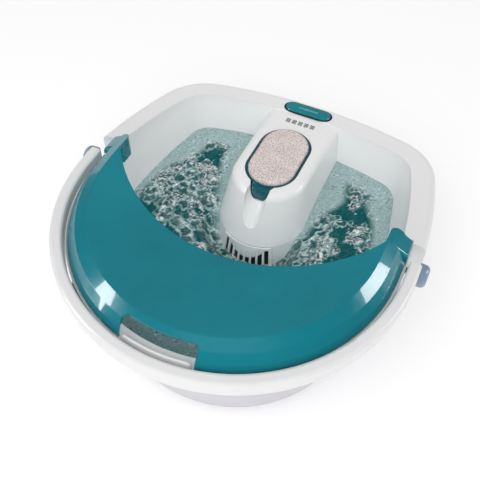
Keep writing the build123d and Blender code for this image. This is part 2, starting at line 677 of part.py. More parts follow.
def check_valve():
    """A one-way valve that keeps water out of the blower."""
    body = rod_y(44, 58, 9.5, DUCT_X, DUCT_Z) + rod_y(36, 66, 7.0, DUCT_X, DUCT_Z)
    return body - rod_y(34, 70, 5.0, DUCT_X, DUCT_Z)


def air_manifold():
    """A cross tube that shares the air between the two bays, with a stub up to each."""
    tube = rod_x(-104, 104, 7.0, MANIFOLD_Y, MANIFOLD_Z)
    tube += rod_y(MANIFOLD_Y, 42, 9.4, DUCT_X, DUCT_Z - 1)
    tube += [post(side * BAY_X, STRIP_Y, 5.0, MANIFOLD_Z, 27.4) for side in (-1, 1)]
    tube -= rod_x(-101, 101, 5.0, MANIFOLD_Y, MANIFOLD_Z)
    tube -= rod_y(36, 50, 7.0, DUCT_X, DUCT_Z)
    tube -= rod_y(MANIFOLD_Y, 37, 4.6, DUCT_X, DUCT_Z - 2)
    tube -= [post(side * BAY_X, STRIP_Y, 3.5, MANIFOLD_Z, 30) for side in (-1, 1)]
    return tube


def air_hose(side):
    """A soft sleeve that joins the cross tube's stub to the bubble strip's nipple."""
    sleeve = post(0, 0, 6.8, 24.4, FLOOR_Z - WALL - 0.2) - post(0, 0, 5.0, 20, 40)
    sleeve -= Pos(0, 0, 28.8) * (Torus(6.9, 0.5))
    return Pos(side * BAY_X, STRIP_Y, 0) * sleeve


# ---------------------------------------------------------------- heater and board
def heater(side):
    """A flat heating plate stuck under a bay's floor, with its two tabs."""
    z = FLOOR_Z - WALL
    plate = Pos(0, -10, z - 1.5) * extrude(RectangleRounded(52, 82, 6), 1.5)
    plate -= post(0, 0, 11, z - 3, z + 1)
    plate += [Pos(dx, 26, z - 3.0) * Box(4, 6, 3.0) for dx in (-12, 12)]
    return Pos(side * BAY_X, STRIP_Y, 0) * plate


def thermal_cutout():
    """A round thermostat clamped to the right-hand plate."""
    z = FLOOR_Z - WALL - 1.5
    body = post(0, 0, 8, z - 7, z) + post(0, 0, 6, z - 10, z - 7)
    body += [Pos(dx, 0, z - 11) * Box(1, 5, 4) for dx in (-3.5, 3.5)]
    return Pos(BAY_X, STRIP_Y - 38, 0) * body


BOARD_Z = 98.0
BOARD_W, BOARD_L, BOARD_Y = 60.0, 70.0, 112.0


def board_corners():
    return [(sx * 25.0, BOARD_Y + sy * 30.0) for sx in (-1, 1) for sy in (-1, 1)]


def control_board():
    board = Pos(0, BOARD_Y, BOARD_Z + 0.8) * Box(BOARD_W, BOARD_L, 1.6)
    return board - [post(x, y, 1.6, BOARD_Z - 1, BOARD_Z + 3) for x, y in board_corners()]


def board_parts():
    """What stands on the board: a relay, a transformer, capacitors, a chip and two plugs."""
    z = BOARD_Z + 1.6
    relay = Pos(-14, BOARD_Y - 14, z + 8) * Box(16, 20, 16)
    core = Pos(12, BOARD_Y + 10, z + 9) * Box(24, 22, 18)
    caps = [post(x, BOARD_Y - 22, 5, z, z + 14) for x in (8, 20)]
    chip = Pos(-12, BOARD_Y + 8, z + 1) * Box(12, 8, 2)
    plugs = [Pos(x, BOARD_Y + 29, z + 4) * Box(14, 7, 8) for x in (-10, 10)]
    return Compound([relay, core, *caps, chip, *plugs])


def board_screws():
    one = screw(2.8, 1.5, 1.3, 9.0)
    return Compound([Pos(x, y, BOARD_Z - 1.5) * one for x, y in board_corners()])


def cord_gland():
    """The inlet in the rear wall that the mains lead would pass through."""
    body = rod_y(REAR_WALL_Y - 14, REAR_WALL_Y + 8, 5.8, GLAND_X, GLAND_Z)
    body += rod_y(REAR_WALL_Y + 1.8, REAR_WALL_Y + 4.2, 9.0, GLAND_X, GLAND_Z)
    body += rod_y(REAR_WALL_Y - 14, REAR_WALL_Y - 11.4, 8.0, GLAND_X, GLAND_Z)
    return body - rod_y(REAR_WALL_Y - 20, REAR_WALL_Y + 20, 3.4, GLAND_X, GLAND_Z)


def save(name, shape):
    export_step(shape, "parts/" + name + ".step")
    print(name, round(shape.volume), shape.is_valid, len(shape.solids()))


save("tub_shell", tub_shell())
save("outer_housing", outer_housing())
save("bottom_cover", bottom_cover())
save("rubber_feet", rubber_feet())
save("cover_screws", cover_screws())
save("handle", handle())
for node, shape in zip(("pivot_pin_right", "pivot_pin_left"), pair(pivot_pin())):
    save(node, shape)
for node, shape in zip(("pivot_cap_right", "pivot_cap_left"), pair(pivot_cap())):
    save(node, shape)
save("splash_guard", splash_guard())
save("power_button", power_button())
save("button_window", button_window())
save("button_bezel", button_bezel())
save("switch_bracket", switch_bracket())
save("power_switch", power_switch())
save("switch_plunger", switch_plunger())
save("pumice_holder", pumice_holder())
save("pumice_stone", pumice_stone())
save("grille_backing", grille_backing())
save("nose_grille", nose_grille())
save("bubble_strip_left", bubble_strip(-1))
save("bubble_strip_right", bubble_strip(1))
save("air_hose_left", air_hose(-1))
save("air_hose_right", air_hose(1))
save("air_manifold", air_manifold())
save("check_valve", check_valve())
save("blower_scroll", blower_scroll())
save("blower_lid", blower_lid())
save("motor_mounts", motor_mounts())
save("blower_motor", blower_motor())
save("motor_shaft", motor_shaft())
save("impeller", impeller())
save("intake_filter", intake_filter())
save("heater_left", heater(-1))
save("heater_right", heater(1))
save("thermal_cutout", thermal_cutout())
save("control_board", control_board())
save("board_parts", board_parts())
save("board_screws", board_screws())
save("cord_gland", cord_gland())
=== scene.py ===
"""Looks for the foot spa basin.

Materials on every CAD node, bubbling bath water, printed marks, floor, soft light and camera.
"""

import math
import random

import bmesh
import bpy
import numpy as np
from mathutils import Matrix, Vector, noise as value_noise
from mathutils.bvhtree import BVHTree


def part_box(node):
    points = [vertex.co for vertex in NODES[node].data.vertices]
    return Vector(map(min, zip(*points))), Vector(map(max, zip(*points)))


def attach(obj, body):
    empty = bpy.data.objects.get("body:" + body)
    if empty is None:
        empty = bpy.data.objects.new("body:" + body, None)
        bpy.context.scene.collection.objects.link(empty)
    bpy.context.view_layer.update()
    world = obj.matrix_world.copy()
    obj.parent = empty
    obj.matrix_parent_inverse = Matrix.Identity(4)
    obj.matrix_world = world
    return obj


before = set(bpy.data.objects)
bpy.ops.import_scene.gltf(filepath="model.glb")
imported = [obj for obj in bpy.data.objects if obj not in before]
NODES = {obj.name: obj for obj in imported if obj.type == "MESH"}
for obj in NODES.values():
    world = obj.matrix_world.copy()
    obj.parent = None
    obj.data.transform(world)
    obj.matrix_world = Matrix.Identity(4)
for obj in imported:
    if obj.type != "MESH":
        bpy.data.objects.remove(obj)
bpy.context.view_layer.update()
UP = Vector((0, 0, 1))
DOWN = Vector((0, 0, -1))

LOW, HIGH = 0.3, 0.7  # a noise keeps mostly between these, so a ramp over it runs from one to the other


# ---------------------------------------------------------------- node helpers
def new_material(name):
    material = bpy.data.materials.new(name)
    material.use_nodes = True
    tree = material.node_tree
    return material, tree, tree.nodes["Principled BSDF"]


def coordinate(tree, kind="Object"):
    return tree.nodes.new("ShaderNodeTexCoord").outputs[kind]


def noise(tree, scale, detail=4.0, rough=0.5):
    place = coordinate(tree)
    node = tree.nodes.new("ShaderNodeTexNoise")
    node.inputs["Scale"].default_value = scale
    node.inputs["Detail"].default_value = detail
    node.inputs["Roughness"].default_value = rough
    tree.links.new(place, node.inputs["Vector"])
    return node.outputs["Fac"]


def cells(tree, scale):
    """Distance to the middle of the nearest of many random cells."""
    place = coordinate(tree)
    node = tree.nodes.new("ShaderNodeTexVoronoi")
    node.inputs["Scale"].default_value = scale
    tree.links.new(place, node.inputs["Vector"])
    return node.outputs["Distance"]


def ramp(tree, source, stops):
    node = tree.nodes.new("ShaderNodeValToRGB")
    elements = node.color_ramp.elements
    while len(elements) < len(stops):
        elements.new(0.5)
    for element, (at, colour) in zip(elements, stops):
        element.position = at
        element.color = (*colour, 1.0)
    tree.links.new(source, node.inputs["Fac"])
    return node.outputs["Color"]


def between(tree, source, dark, light, low=LOW, high=HIGH):
    """Colour that runs from dark to light as the source goes from low to high."""
    return ramp(tree, source, [(low, dark), (high, light)])


def grey(level):
    return (level, level, level)


SOFT_EDGE_RAYS = 4


def bump(tree, shader, source, strength, distance=0.001, soft_edge=0.0):
    """Raises the surface by the source. A soft edge rounds the look of sharp edges by that radius."""
    node = tree.nodes.new("ShaderNodeBump")
    if soft_edge:
        rounding = tree.nodes.new("ShaderNodeBevel")
        rounding.samples = SOFT_EDGE_RAYS
        rounding.inputs["Radius"].default_value = soft_edge
        tree.links.new(rounding.outputs["Normal"], node.inputs["Normal"])
    node.inputs["Strength"].default_value = strength
    node.inputs["Distance"].default_value = distance
    tree.links.new(source, node.inputs["Height"])
    tree.links.new(node.outputs["Normal"], shader.inputs["Normal"])


def mix(tree, kind, amount, first, second):
    node = tree.nodes.new("ShaderNodeMixRGB")
    node.blend_type = kind
    node.inputs["Fac"].default_value = amount
    tree.links.new(first, node.inputs["Color1"])
    tree.links.new(second, node.inputs["Color2"])
    return node.outputs["Color"]


DRIFT_SCALE = 9.0  # slow change of a moulding's colour
SINK_SCALE = 22.0  # shallow sink marks
SINK_DEPTH = 0.04
GRAIN_SCALE = 160.0  # fine change of gloss, between these shares of the stated roughness
GRAIN = (0.93, 1.07)
MOULD_EDGE = 0.0008  # radius of a moulding's edges
COAT_ROUGH = 0.05


def moulded_plastic(name, dark, light, rough, coat=0.0, shine=0.5):
    """Injection-moulded plastic: slow colour drift, slight sink marks and a fine change of gloss."""
    material, tree, shader = new_material(name)
    drift = noise(tree, DRIFT_SCALE, 3.0)
    tree.links.new(between(tree, drift, dark, light), shader.inputs["Base Color"])
    shader.inputs["Specular IOR Level"].default_value = shine
    grain = noise(tree, GRAIN_SCALE, 6.0)
    gloss = between(tree, grain, grey(rough * GRAIN[0]), grey(rough * GRAIN[1]))
    tree.links.new(gloss, shader.inputs["Roughness"])
    bump(tree, shader, noise(tree, SINK_SCALE, 2.0), SINK_DEPTH, soft_edge=MOULD_EDGE)
    shader.inputs["Coat Weight"].default_value = coat
    shader.inputs["Coat Roughness"].default_value = COAT_ROUGH
    return material


def shade_by_height(material, low, high, level):
    """Painted shade: darkens the colour towards the level, a share of it, between the low height and the high
    one.
    """
    tree = material.node_tree
    shader = tree.nodes["Principled BSDF"]
    place = coordinate(tree)
    split = tree.nodes.new("ShaderNodeSeparateXYZ")
    height = tree.nodes.new("ShaderNodeMapRange")
    height.inputs["From Min"].default_value = low
    height.inputs["From Max"].default_value = high
    tree.links.new(place, split.inputs["Vector"])
    tree.links.new(split.outputs["Z"], height.inputs["Value"])
    base = shader.inputs["Base Color"].links[0].from_socket
    shade = ramp(tree, height.outputs["Result"], [(0.0, grey(1.0)), (1.0, grey(level))])
    tree.links.new(mix(tree, "MULTIPLY", 1.0, base, shade), shader.inputs["Base Color"])


BLOTCH_SCALE = 30.0
PEBBLE_SCALE = 900.0
PEBBLE_STRENGTH = 0.25
PEBBLE_DEPTH = 0.0003
PEBBLE_GLOSS = 0.85  # the pebble's low spots have this share of the stated roughness


def textured_plastic(name, dark, light, rough):
    """Spark-eroded matt plastic or rubber, with a fine pebble in the surface."""
    material, tree, shader = new_material(name)
    blotch = noise(tree, BLOTCH_SCALE, 4.0)
    tree.links.new(between(tree, blotch, dark, light), shader.inputs["Base Color"])
    pebble = noise(tree, PEBBLE_SCALE, 3.0, 0.6)
    gloss = between(tree, pebble, grey(rough * PEBBLE_GLOSS), grey(rough))
    tree.links.new(gloss, shader.inputs["Roughness"])
    bump(tree, shader, pebble, PEBBLE_STRENGTH, PEBBLE_DEPTH)
    return material


LINE_SCALE = 260.0
LINE_FINE = 14.0  # how much finer the lines are across than along
LINE_GLOSS = (0.7, 1.3)  # shares of the stated roughness
ALONG_Z = (1.0, 1.0, LINE_FINE)
ALONG_X = (LINE_FINE, 1.0, 1.0)


def metal(name, dark, light, rough, stretch=ALONG_Z):
    """Turned or drawn metal with fine lines, packed closest in the stretched direction."""
    material, tree, shader = new_material(name)
    place = coordinate(tree)
    squeeze = tree.nodes.new("ShaderNodeMapping")
    squeeze.inputs["Scale"].default_value = stretch
    lines = tree.nodes.new("ShaderNodeTexNoise")
    lines.inputs["Scale"].default_value = LINE_SCALE
    lines.inputs["Detail"].default_value = 5.0
    tree.links.new(place, squeeze.inputs["Vector"])
    tree.links.new(squeeze.outputs["Vector"], lines.inputs["Vector"])
    streak = lines.outputs["Fac"]
    tree.links.new(between(tree, streak, dark, light, 0.35, 0.65), shader.inputs["Base Color"])
    gloss = between(tree, streak, grey(rough * LINE_GLOSS[0]), grey(rough * LINE_GLOSS[1]))
    tree.links.new(gloss, shader.inputs["Roughness"])
    bump(tree, shader, streak, 0.1, 0.0002)
    shader.inputs["Metallic"].default_value = 1.0
    return material


def paint(material, *names):
    for name in names:
        mesh = NODES[name].data
        mesh.materials.clear()
        mesh.materials.append(material)


# ---------------------------------------------------------------- materials
LEVEL = (0.93, 0.965)  # upward part of the normal, from a sloping face of the guard to its level top


def on_top(tree, at_slope, at_top):
    """A number that changes as the surface turns from sloping to level."""
    place = coordinate(tree, "Normal")
    split = tree.nodes.new("ShaderNodeSeparateXYZ")
    level = tree.nodes.new("ShaderNodeMapRange")
    tree.links.new(place, split.inputs["Vector"])
    tree.links.new(split.outputs["Z"], level.inputs["Value"])
    for key, value in zip(("From Min", "From Max", "To Min", "To Max"), (*LEVEL, at_slope, at_top)):
        level.inputs[key].default_value = value
    return level.outputs["Result"]


GUARD_EDGE = 0.0014  # radius of the guard's edges


def clear_teal():
    """Tinted shell of the splash guard: faint flow clouding, polished on its slopes and satin on its top."""
    material, tree, shader = new_material("teal_clear")
    cloud = noise(tree, 7.0, 4.0, 0.6)
    tint = between(tree, cloud, (0.0, 0.235, 0.30), (0.003, 0.305, 0.375), 0.25, 0.75)
    tree.links.new(tint, shader.inputs["Base Color"])
    grain = between(tree, noise(tree, 120.0, 5.0), grey(0.8), grey(1.2))
    rough = on_top(tree, 0.2, 0.6)
    tree.links.new(mix(tree, "MULTIPLY", 1.0, grain, rough), shader.inputs["Roughness"])
    bump(tree, shader, noise(tree, 16.0, 2.0), 0.05, soft_edge=GUARD_EDGE)
    shader.inputs["IOR"].default_value = 1.45
    shader.inputs["Specular IOR Level"].default_value = 0.25
    shader.inputs["Transmission Weight"].default_value = 0.3
    tree.links.new(on_top(tree, 0.8, 0.0), shader.inputs["Coat Weight"])
    shader.inputs["Coat Roughness"].default_value = 0.03
    return material


def clear_window():
    """The power button's small lens, with a fine pattern of cells."""
    material, tree, shader = new_material("window")
    tint = between(tree, noise(tree, 90.0, 3.0), (0.22, 0.52, 0.56), (0.32, 0.62, 0.66))
    tree.links.new(tint, shader.inputs["Base Color"])
    bump(tree, shader, cells(tree, 700.0), 0.15, 0.0003)
    shader.inputs["Roughness"].default_value = 0.12
    shader.inputs["Transmission Weight"].default_value = 0.25
    return material


PORE_SCALE = 520.0
STONE_GRAINS = (  # from the brown grains to the pale ones
    (0.36, (0.42, 0.30, 0.27)),
    (0.47, (0.88, 0.82, 0.80)),
    (0.56, (1.0, 0.98, 0.97)),
    (0.66, (1.25, 1.25, 1.25)),
)


def pumice_rock():
    """Pressed pumice: pink-beige ground, pale and brown grains about a millimetre across, and open pores
    painted darker as painted shade in their pits.
    """
    material, tree, shader = new_material("pumice")
    ground = between(tree, noise(tree, 60.0, 4.0), (0.74, 0.665, 0.65), (0.83, 0.775, 0.765))
    grain = ramp(tree, noise(tree, 620.0, 3.0, 0.65), STONE_GRAINS)
    # painted shade: the pits of the pores, sunk by the bump below, are darker
    pores = between(tree, cells(tree, PORE_SCALE), (0.45, 0.36, 0.33), grey(1.0), 0.08, 0.26)
    colour = mix(tree, "MULTIPLY", 0.9, mix(tree, "MULTIPLY", 0.85, ground, grain), pores)
    tree.links.new(colour, shader.inputs["Base Color"])
    shader.inputs["Roughness"].default_value = 0.92
    bump(tree, shader, cells(tree, PORE_SCALE), 0.6, 0.0008)
    return material


FOAM_SCALE = 650.0


def air_foam():
    material, tree, shader = new_material("foam")
    # painted shade: the foam's cells are darker in their pits, which the bump sinks
    tint = between(tree, cells(tree, FOAM_SCALE), grey(0.01), (0.09, 0.09, 0.095), 0.1, 0.5)
    tree.links.new(tint, shader.inputs["Base Color"])
    shader.inputs["Roughness"].default_value = 0.95
    bump(tree, shader, cells(tree, FOAM_SCALE), 0.8)
    return material


def laminate():
    """The circuit board's green laminate."""
    material, tree, shader = new_material("board")
    tint = between(tree, cells(tree, 320.0), (0.02, 0.16, 0.06), (0.01, 0.09, 0.035), 0.1, 0.5)
    tree.links.new(tint, shader.inputs["Base Color"])
    shader.inputs["Roughness"].default_value = 0.35
    bump(tree, shader, noise(tree, 500.0), 0.1, 0.0002)
    return material


WHITE = moulded_plastic("white_gloss", (0.93, 0.93, 0.93), (0.96, 0.96, 0.96), 0.3, 0.05, shine=0.22)
# painted shade: the tub's white is darker on the rim's top than down in the basin
shade_by_height(WHITE, low=0.135, high=0.168, level=0.86)
HANDLE = moulded_plastic("white_handle", (0.78, 0.78, 0.785), (0.82, 0.82, 0.825), 0.3, 0.05, shine=0.25)
CASE = moulded_plastic("white_case", (0.58, 0.56, 0.605), (0.63, 0.61, 0.655), 0.32, 0.05, shine=0.25)
TEAL = moulded_plastic("teal", (0.002, 0.21, 0.26), (0.008, 0.26, 0.31), 0.25, 0.4)
# painted shade: a darker copy of the teal, standing in for the shadowed gap round the stone
SHADED_HOLDER_TEAL = moulded_plastic("holder_teal_shaded", (0.003, 0.10, 0.135), (0.009, 0.13, 0.17), 0.25, 0.4)
PALE_BLUE = moulded_plastic("pale_blue", (0.20, 0.27, 0.37), (0.25, 0.32, 0.43), 0.3, 0.1)
BLACK = textured_plastic("black", (0.006, 0.006, 0.007), (0.014, 0.014, 0.016), 0.5)
DARK_RUBBER = textured_plastic("dark_rubber", (0.012, 0.022, 0.026), (0.02, 0.034, 0.04), 0.6)
FEET = textured_plastic("feet_rubber", (0.10, 0.10, 0.11), (0.14, 0.14, 0.15), 0.8)
COVER = textured_plastic("grey_cover", (0.42, 0.42, 0.44), (0.50, 0.50, 0.52), 0.55)
CASE_GREY = textured_plastic("case_grey", (0.08, 0.085, 0.095), (0.11, 0.115, 0.125), 0.5)
FAN = moulded_plastic("fan", (0.62, 0.61, 0.57), (0.70, 0.69, 0.65), 0.4)
HOSE = moulded_plastic("hose", (0.60, 0.60, 0.56), (0.70, 0.70, 0.66), 0.45)
PARTS = textured_plastic("parts", (0.01, 0.01, 0.012), (0.05, 0.05, 0.06), 0.4)
STEEL = metal("steel", (0.42, 0.42, 0.44), (0.62, 0.62, 0.63), 0.28)
PLATE = metal("heater", (0.60, 0.60, 0.61), (0.75, 0.75, 0.76), 0.35, ALONG_X)

paint(WHITE, "tub_shell", "nose_grille", "bubble_strip_left", "bubble_strip_right")
paint(HANDLE, "handle")
paint(CASE, "outer_housing", "switch_bracket")
paint(clear_teal(), "splash_guard")
paint(TEAL, "power_button")
paint(SHADED_HOLDER_TEAL, "pumice_holder")
paint(clear_window(), "button_window")
paint(PALE_BLUE, "pivot_cap_left", "pivot_cap_right")
paint(BLACK, "grille_backing", "power_switch", "switch_plunger", "thermal_cutout", "cord_gland")
paint(DARK_RUBBER, "button_bezel", "motor_mounts")
paint(FEET, "rubber_feet")
paint(COVER, "bottom_cover")
paint(CASE_GREY, "air_manifold", "check_valve", "blower_scroll", "blower_lid")
paint(HOSE, "air_hose_left", "air_hose_right")
paint(FAN, "impeller")
paint(PARTS, "board_parts")
paint(STEEL, "cover_screws", "board_screws", "pivot_pin_left", "pivot_pin_right")
paint(STEEL, "blower_motor", "motor_shaft")
paint(PLATE, "heater_left", "heater_right")
paint(air_foam(), "intake_filter")
paint(laminate(), "control_board")
paint(pumice_rock(), "pumice_stone")


# ---------------------------------------------------------------- surfaces to measure from
def surface(*names):
    """One search tree over the named CAD nodes."""
    mesh = bmesh.new()
    for name in names:
        mesh.from_mesh(NODES[name].data)
    tree = BVHTree.FromBMesh(mesh)
    mesh.free()
    return tree


BASIN = surface("tub_shell", "nose_grille", "bubble_strip_left", "bubble_strip_right")


def new_piece(name, points, faces, material, body="base"):
    mesh = bpy.data.meshes.new(name)
    mesh.from_pydata(points, [], faces)
    mesh.materials.append(material)
    mesh.shade_smooth()
    piece = bpy.data.objects.new(name, mesh)
    bpy.context.scene.collection.objects.link(piece)
    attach(piece, body)
    return piece


# ---------------------------------------------------------------- bath water
WATER_Z = 0.099  # the fill line
CELL = 0.0012  # spacing of the water's surface mesh
WATER_THICK = 0.005
DIP = 0.042  # how far the water is drawn down at the intake grille
DIP_REACH = 0.018
DIP_END = 5  # beyond this many reaches from the grille there is no dip
SAG = 0.011  # how far it is drawn down round the rest of the island's nose
SAG_REACH = 0.03
NOSE_RADIUS = 0.05  # the sag is deepest within this distance of the nose
PALE = np.array((0.36, 0.50, 0.50))  # shallow water over the white wall
DEEP = np.array((0.0, 0.094, 0.100))
WEB = np.array((0.42, 0.62, 0.62))  # foam lines between the bubbles
# the froth's own white, also used for the painted highlight on the bubbles' rims
FROTH_AND_RIM_HIGHLIGHT = np.array((0.70, 0.87, 0.87))
SHADE_LINE = np.array((0.0, 0.055, 0.06))  # painted shade: the dark inside of a bubble's edge, on its side away from the light, and the dark line beside the curls
# white of the painted glints on the bubbles and of the painted highlights on the curls' crests
GLINT = np.array((1.0, 1.0, 1.0))
BUBBLES = 3300
SMALLEST, LARGEST = 0.0010, 0.0088


def smooth_step(low, high, value):
    t = np.clip((value - low) / (high - low), 0, 1)
    return t * t * (3 - 2 * t)


def at_least(least, value):
    """The value, 0 to 1, made to run from the least up to 1."""
    return least + (1 - least) * value


def hump(value, middle, width):
    """1 at the middle, falling smoothly to nothing over a few widths."""
    return np.exp(-(((value - middle) / width) ** 2))


def blend(under, over, amount):
    """The colours under, covered by the colour over by an amount at each point."""
    return under * (1 - amount[..., None]) + over * amount[..., None]


def water_grid():
    """Grid over the basin: its x and y lines, and each point's distance to the wall, -1 outside the water."""
    low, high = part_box("tub_shell")
    across = np.arange(low.x, high.x, CELL)
    along = np.arange(low.y, high.y, CELL)
    wall = np.full((len(across), len(along)), -1.0)
    for i, x in enumerate(across):
        for j, y in enumerate(along):
            start = Vector((x, y, WATER_Z))
            if BASIN.ray_cast(start, UP)[0] is None and BASIN.ray_cast(start, DOWN)[0] is not None:
                wall[i, j] = BASIN.find_nearest(start)[3]
    return across, along, wall


def grown(mask):
    """The mask and every cell beside it, so that the water's edge lies inside the wall."""
    wide = mask.copy()
    wide[1:] |= mask[:-1]
    wide[:-1] |= mask[1:]
    wide[:, 1:] |= mask[:, :-1]
    wide[:, :-1] |= mask[:, 1:]
    return wide


def stir(across, along, scale, seed, bend=None):
    """Noise over the grid, about -1 to 1. A bend of two fields, in metres, makes its shapes curl."""
    field = np.zeros((len(across), len(along)))
    over, up = bend if bend else (field.copy(), field.copy())
    for i, x in enumerate(across):
        for j, y in enumerate(along):
            field[i, j] = value_noise.noise(Vector(((x + over[i, j]) * scale, (y + up[i, j]) * scale, seed)))
    return field


SHORE = (0.003, 0.015)  # from the first to the second distance to a wall, the water turns pale to deep
SHORE_DRIFT = 0.008
CALM_END = 0.020  # how much further from the wall it turns at the far ends
CALM_REAR = (0.050, 0.115)  # where along the basin each end begins and is complete
CALM_FRONT = (0.125, 0.15)


def settle(wall, along, drift):
    """How deep and lively the water looks, 0 at the walls to 1 in mid bay. The far ends stay calm."""
    rear = CALM_END * smooth_step(*CALM_REAR, along)[None, :]
    front = CALM_END * smooth_step(*CALM_FRONT, -along)[None, :]
    return smooth_step(*SHORE, wall - rear - front + SHORE_DRIFT * drift)


def draw_down(across, along, wall):
    """How far the surface sinks towards the island's nose, most of all at the intake grille."""
    grille = surface("nose_grille")
    low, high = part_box("nose_grille")
    nose = Vector(((low.x + high.x) / 2, high.y, WATER_Z))
    sink = np.zeros(wall.shape)
    for i, j in np.argwhere(grown(wall >= 0)):
        spot = Vector((across[i], along[j], WATER_Z))
        near = grille.find_nearest(spot)[3]
        if near < DIP_END * DIP_REACH:
            level = max(0.0, near - (WATER_Z - high.z))
            sink[i, j] = DIP * math.exp(-((level / DIP_REACH) ** 2))
        away = max(0.0, (spot - nose).length - NOSE_RADIUS)
        sink[i, j] = max(sink[i, j], SAG * math.exp(-((away / SAG_REACH) ** 2)))
    return sink


BUBBLE_REACH = 1.7  # of its radius: the patch of grid that a bubble is looked for in
RIM_HIGHLIGHT = (0.86, 0.13)  # middle and width of the pale rim, a painted highlight, as shares of the radius
INNER_SHADE_LINE = (0.6, 0.15)  # the same for the dark line inside it, a painted shade
GLINT_OUT = 0.42  # how far out the painted glint lies
GLINT_SPREAD = 0.03
LEAST_RIM = 0.25  # how strong the rim's painted highlight and the line's painted shade are on their weak side
FULL_TURN = 6.28


def blow_bubble(rng, height, tint, across, along, swirl, centre, radius):
    """Raises one dome, a little out of round, and paints its pale rim as a painted highlight, brightest on
    its lit side, its dark inner line as painted shade on the far side, and its glints as painted highlights.
    """
    reach = radius * BUBBLE_REACH
    i0, i1 = np.searchsorted(across, (centre[0] - reach, centre[0] + reach))
    j0, j1 = np.searchsorted(along, (centre[1] - reach, centre[1] + reach))
    if i1 <= i0 or j1 <= j0:
        return
    dx = (across[i0:i1, None] - centre[0]) / radius + swirl[0][i0:i1, j0:j1]
    dy = (along[None, j0:j1] - centre[1]) / radius + swirl[1][i0:i1, j0:j1]
    turn = np.arctan2(dy, dx)
    lean, swing = rng.uniform(0, FULL_TURN), rng.uniform(0, FULL_TURN)
    uneven = 1 + 0.13 * np.sin(2 * turn + lean) + 0.06 * np.sin(3 * turn + swing)
    out = np.sqrt(dx * dx + dy * dy) / uneven
    dome = radius * rng.uniform(0.3, 0.62) * np.sqrt(np.clip(1 - out * out, 0, 1))
    patch = height[i0:i1, j0:j1]
    top = (dome > patch) & (out < 1)
    patch[top] = dome[top]
    body = tint[i0:i1, j0:j1]
    milk = rng.uniform(0.0, 0.7) ** 2.2
    face = rng.gauss(2.3, 0.7)  # the side the light is painted as coming from, where the rim's painted highlight is brightest
    lit = 0.5 + 0.5 * np.cos(turn - face)
    back = 0.5 + 0.5 * np.cos(2 * (turn - face))
    # painted highlight on the rim, brightest on the lit side; painted shade in the inner line on the far side
    rim = hump(out, *RIM_HIGHLIGHT) * at_least(LEAST_RIM, np.maximum(lit, 0.8 * back)) * rng.uniform(0.55, 1)
    line = hump(out, *INNER_SHADE_LINE) * at_least(LEAST_RIM, 1 - lit) * rng.uniform(0.3, 1)
    # painted highlight: a small white glint towards the lit side, on most bubbles
    glint_x, glint_y = GLINT_OUT * math.cos(face), GLINT_OUT * math.sin(face)
    glint = np.exp(-((dx - glint_x) ** 2 + (dy - glint_y) ** 2) / GLINT_SPREAD)
    glint *= rng.random() < 0.7  # the rest have none
    colour = body * (1 - milk * 0.5) + FROTH_AND_RIM_HIGHLIGHT * milk * 0.22
    for amount, over in ((line, SHADE_LINE), (rim, FROTH_AND_RIM_HIGHLIGHT * rng.uniform(0.85, 1.3)), (glint, GLINT)):
        colour = blend(colour, over, amount)
    body[top] = colour[top]


WEBS = ((150.0, 9.1, 18, 0.35), (330.0, 5.7, 14, 0.2))  # noise scale and seed, thinness, strength
LEAST_WEB = 0.25


def foam_web(across, along, depth, gather):
    """Thin pale lines that join up between the bubbles, strongest where the water is lively."""
    web = sum(
        (1 - np.abs(stir(across, along, scale, seed))) ** thin * strength
        for scale, seed, thin, strength in WEBS
    )
    lively = (1 - LEAST_WEB) * np.minimum(depth * 2, 1) * smooth_step(-0.1, 0.1, gather)
    return np.clip(web, 0, 1) * (LEAST_WEB + lively)


CURLS = ((120.0, 21.4, 0.85), (260.0, 29.7, 0.7))  # noise scale and seed, strength
CURL_BEND = 0.007
CURL_HEIGHT = 0.0012
CREST = (0.89, 0.98)  # the white line along a curl, a painted highlight
SHADE_BEGINS, SHADE_ENDS = (0.05, 0.12), (0.22, 0.34)  # the dark line beside it, a painted shade


def curl(height, tint, across, along, strong, gather):
    """White curls of churned water, their crests painted highlights with painted shade along one side, in
    patches.
    """
    bend = [CURL_BEND * stir(across, along, 75.0, seed) for seed in (13.1, 17.9)]
    patches = smooth_step(0.04, 0.28, stir(across, along, 52.0, 3.3) + 0.5 * gather)
    for scale, seed, strength in CURLS:
        ridge = stir(across, along, scale, seed, bend)
        amount = patches * strong * strength
        # painted shade beside each crest, and a painted highlight along it
        beside = smooth_step(*SHADE_BEGINS, ridge) * (1 - smooth_step(*SHADE_ENDS, ridge))
        white = smooth_step(*CREST, 1 - np.abs(ridge)) * amount
        tint[:] = blend(tint, SHADE_LINE, beside * amount * 0.9)
        tint[:] = blend(tint, GLINT, white)
        height += CURL_HEIGHT * white


BUBBLE_SEED = 11
BUBBLE_SHORE = 0.0012  # no bubble starts nearer to a wall than this
SWIRL = 0.55  # how far the bubbles are bent out of round, in radii
CROWDED = 0.09  # below this gather, lively water has almost no bubbles
STRAYS = 0.05  # the share of them that is kept there
LEAST_CROWD = 0.22  # the share of bubbles kept in the calmest water
MOSTLY_SMALL = 2.6  # the higher, the fewer large bubbles
LEAST_SIZE = 0.25  # largest bubble in the calmest water, as a share of the largest of all


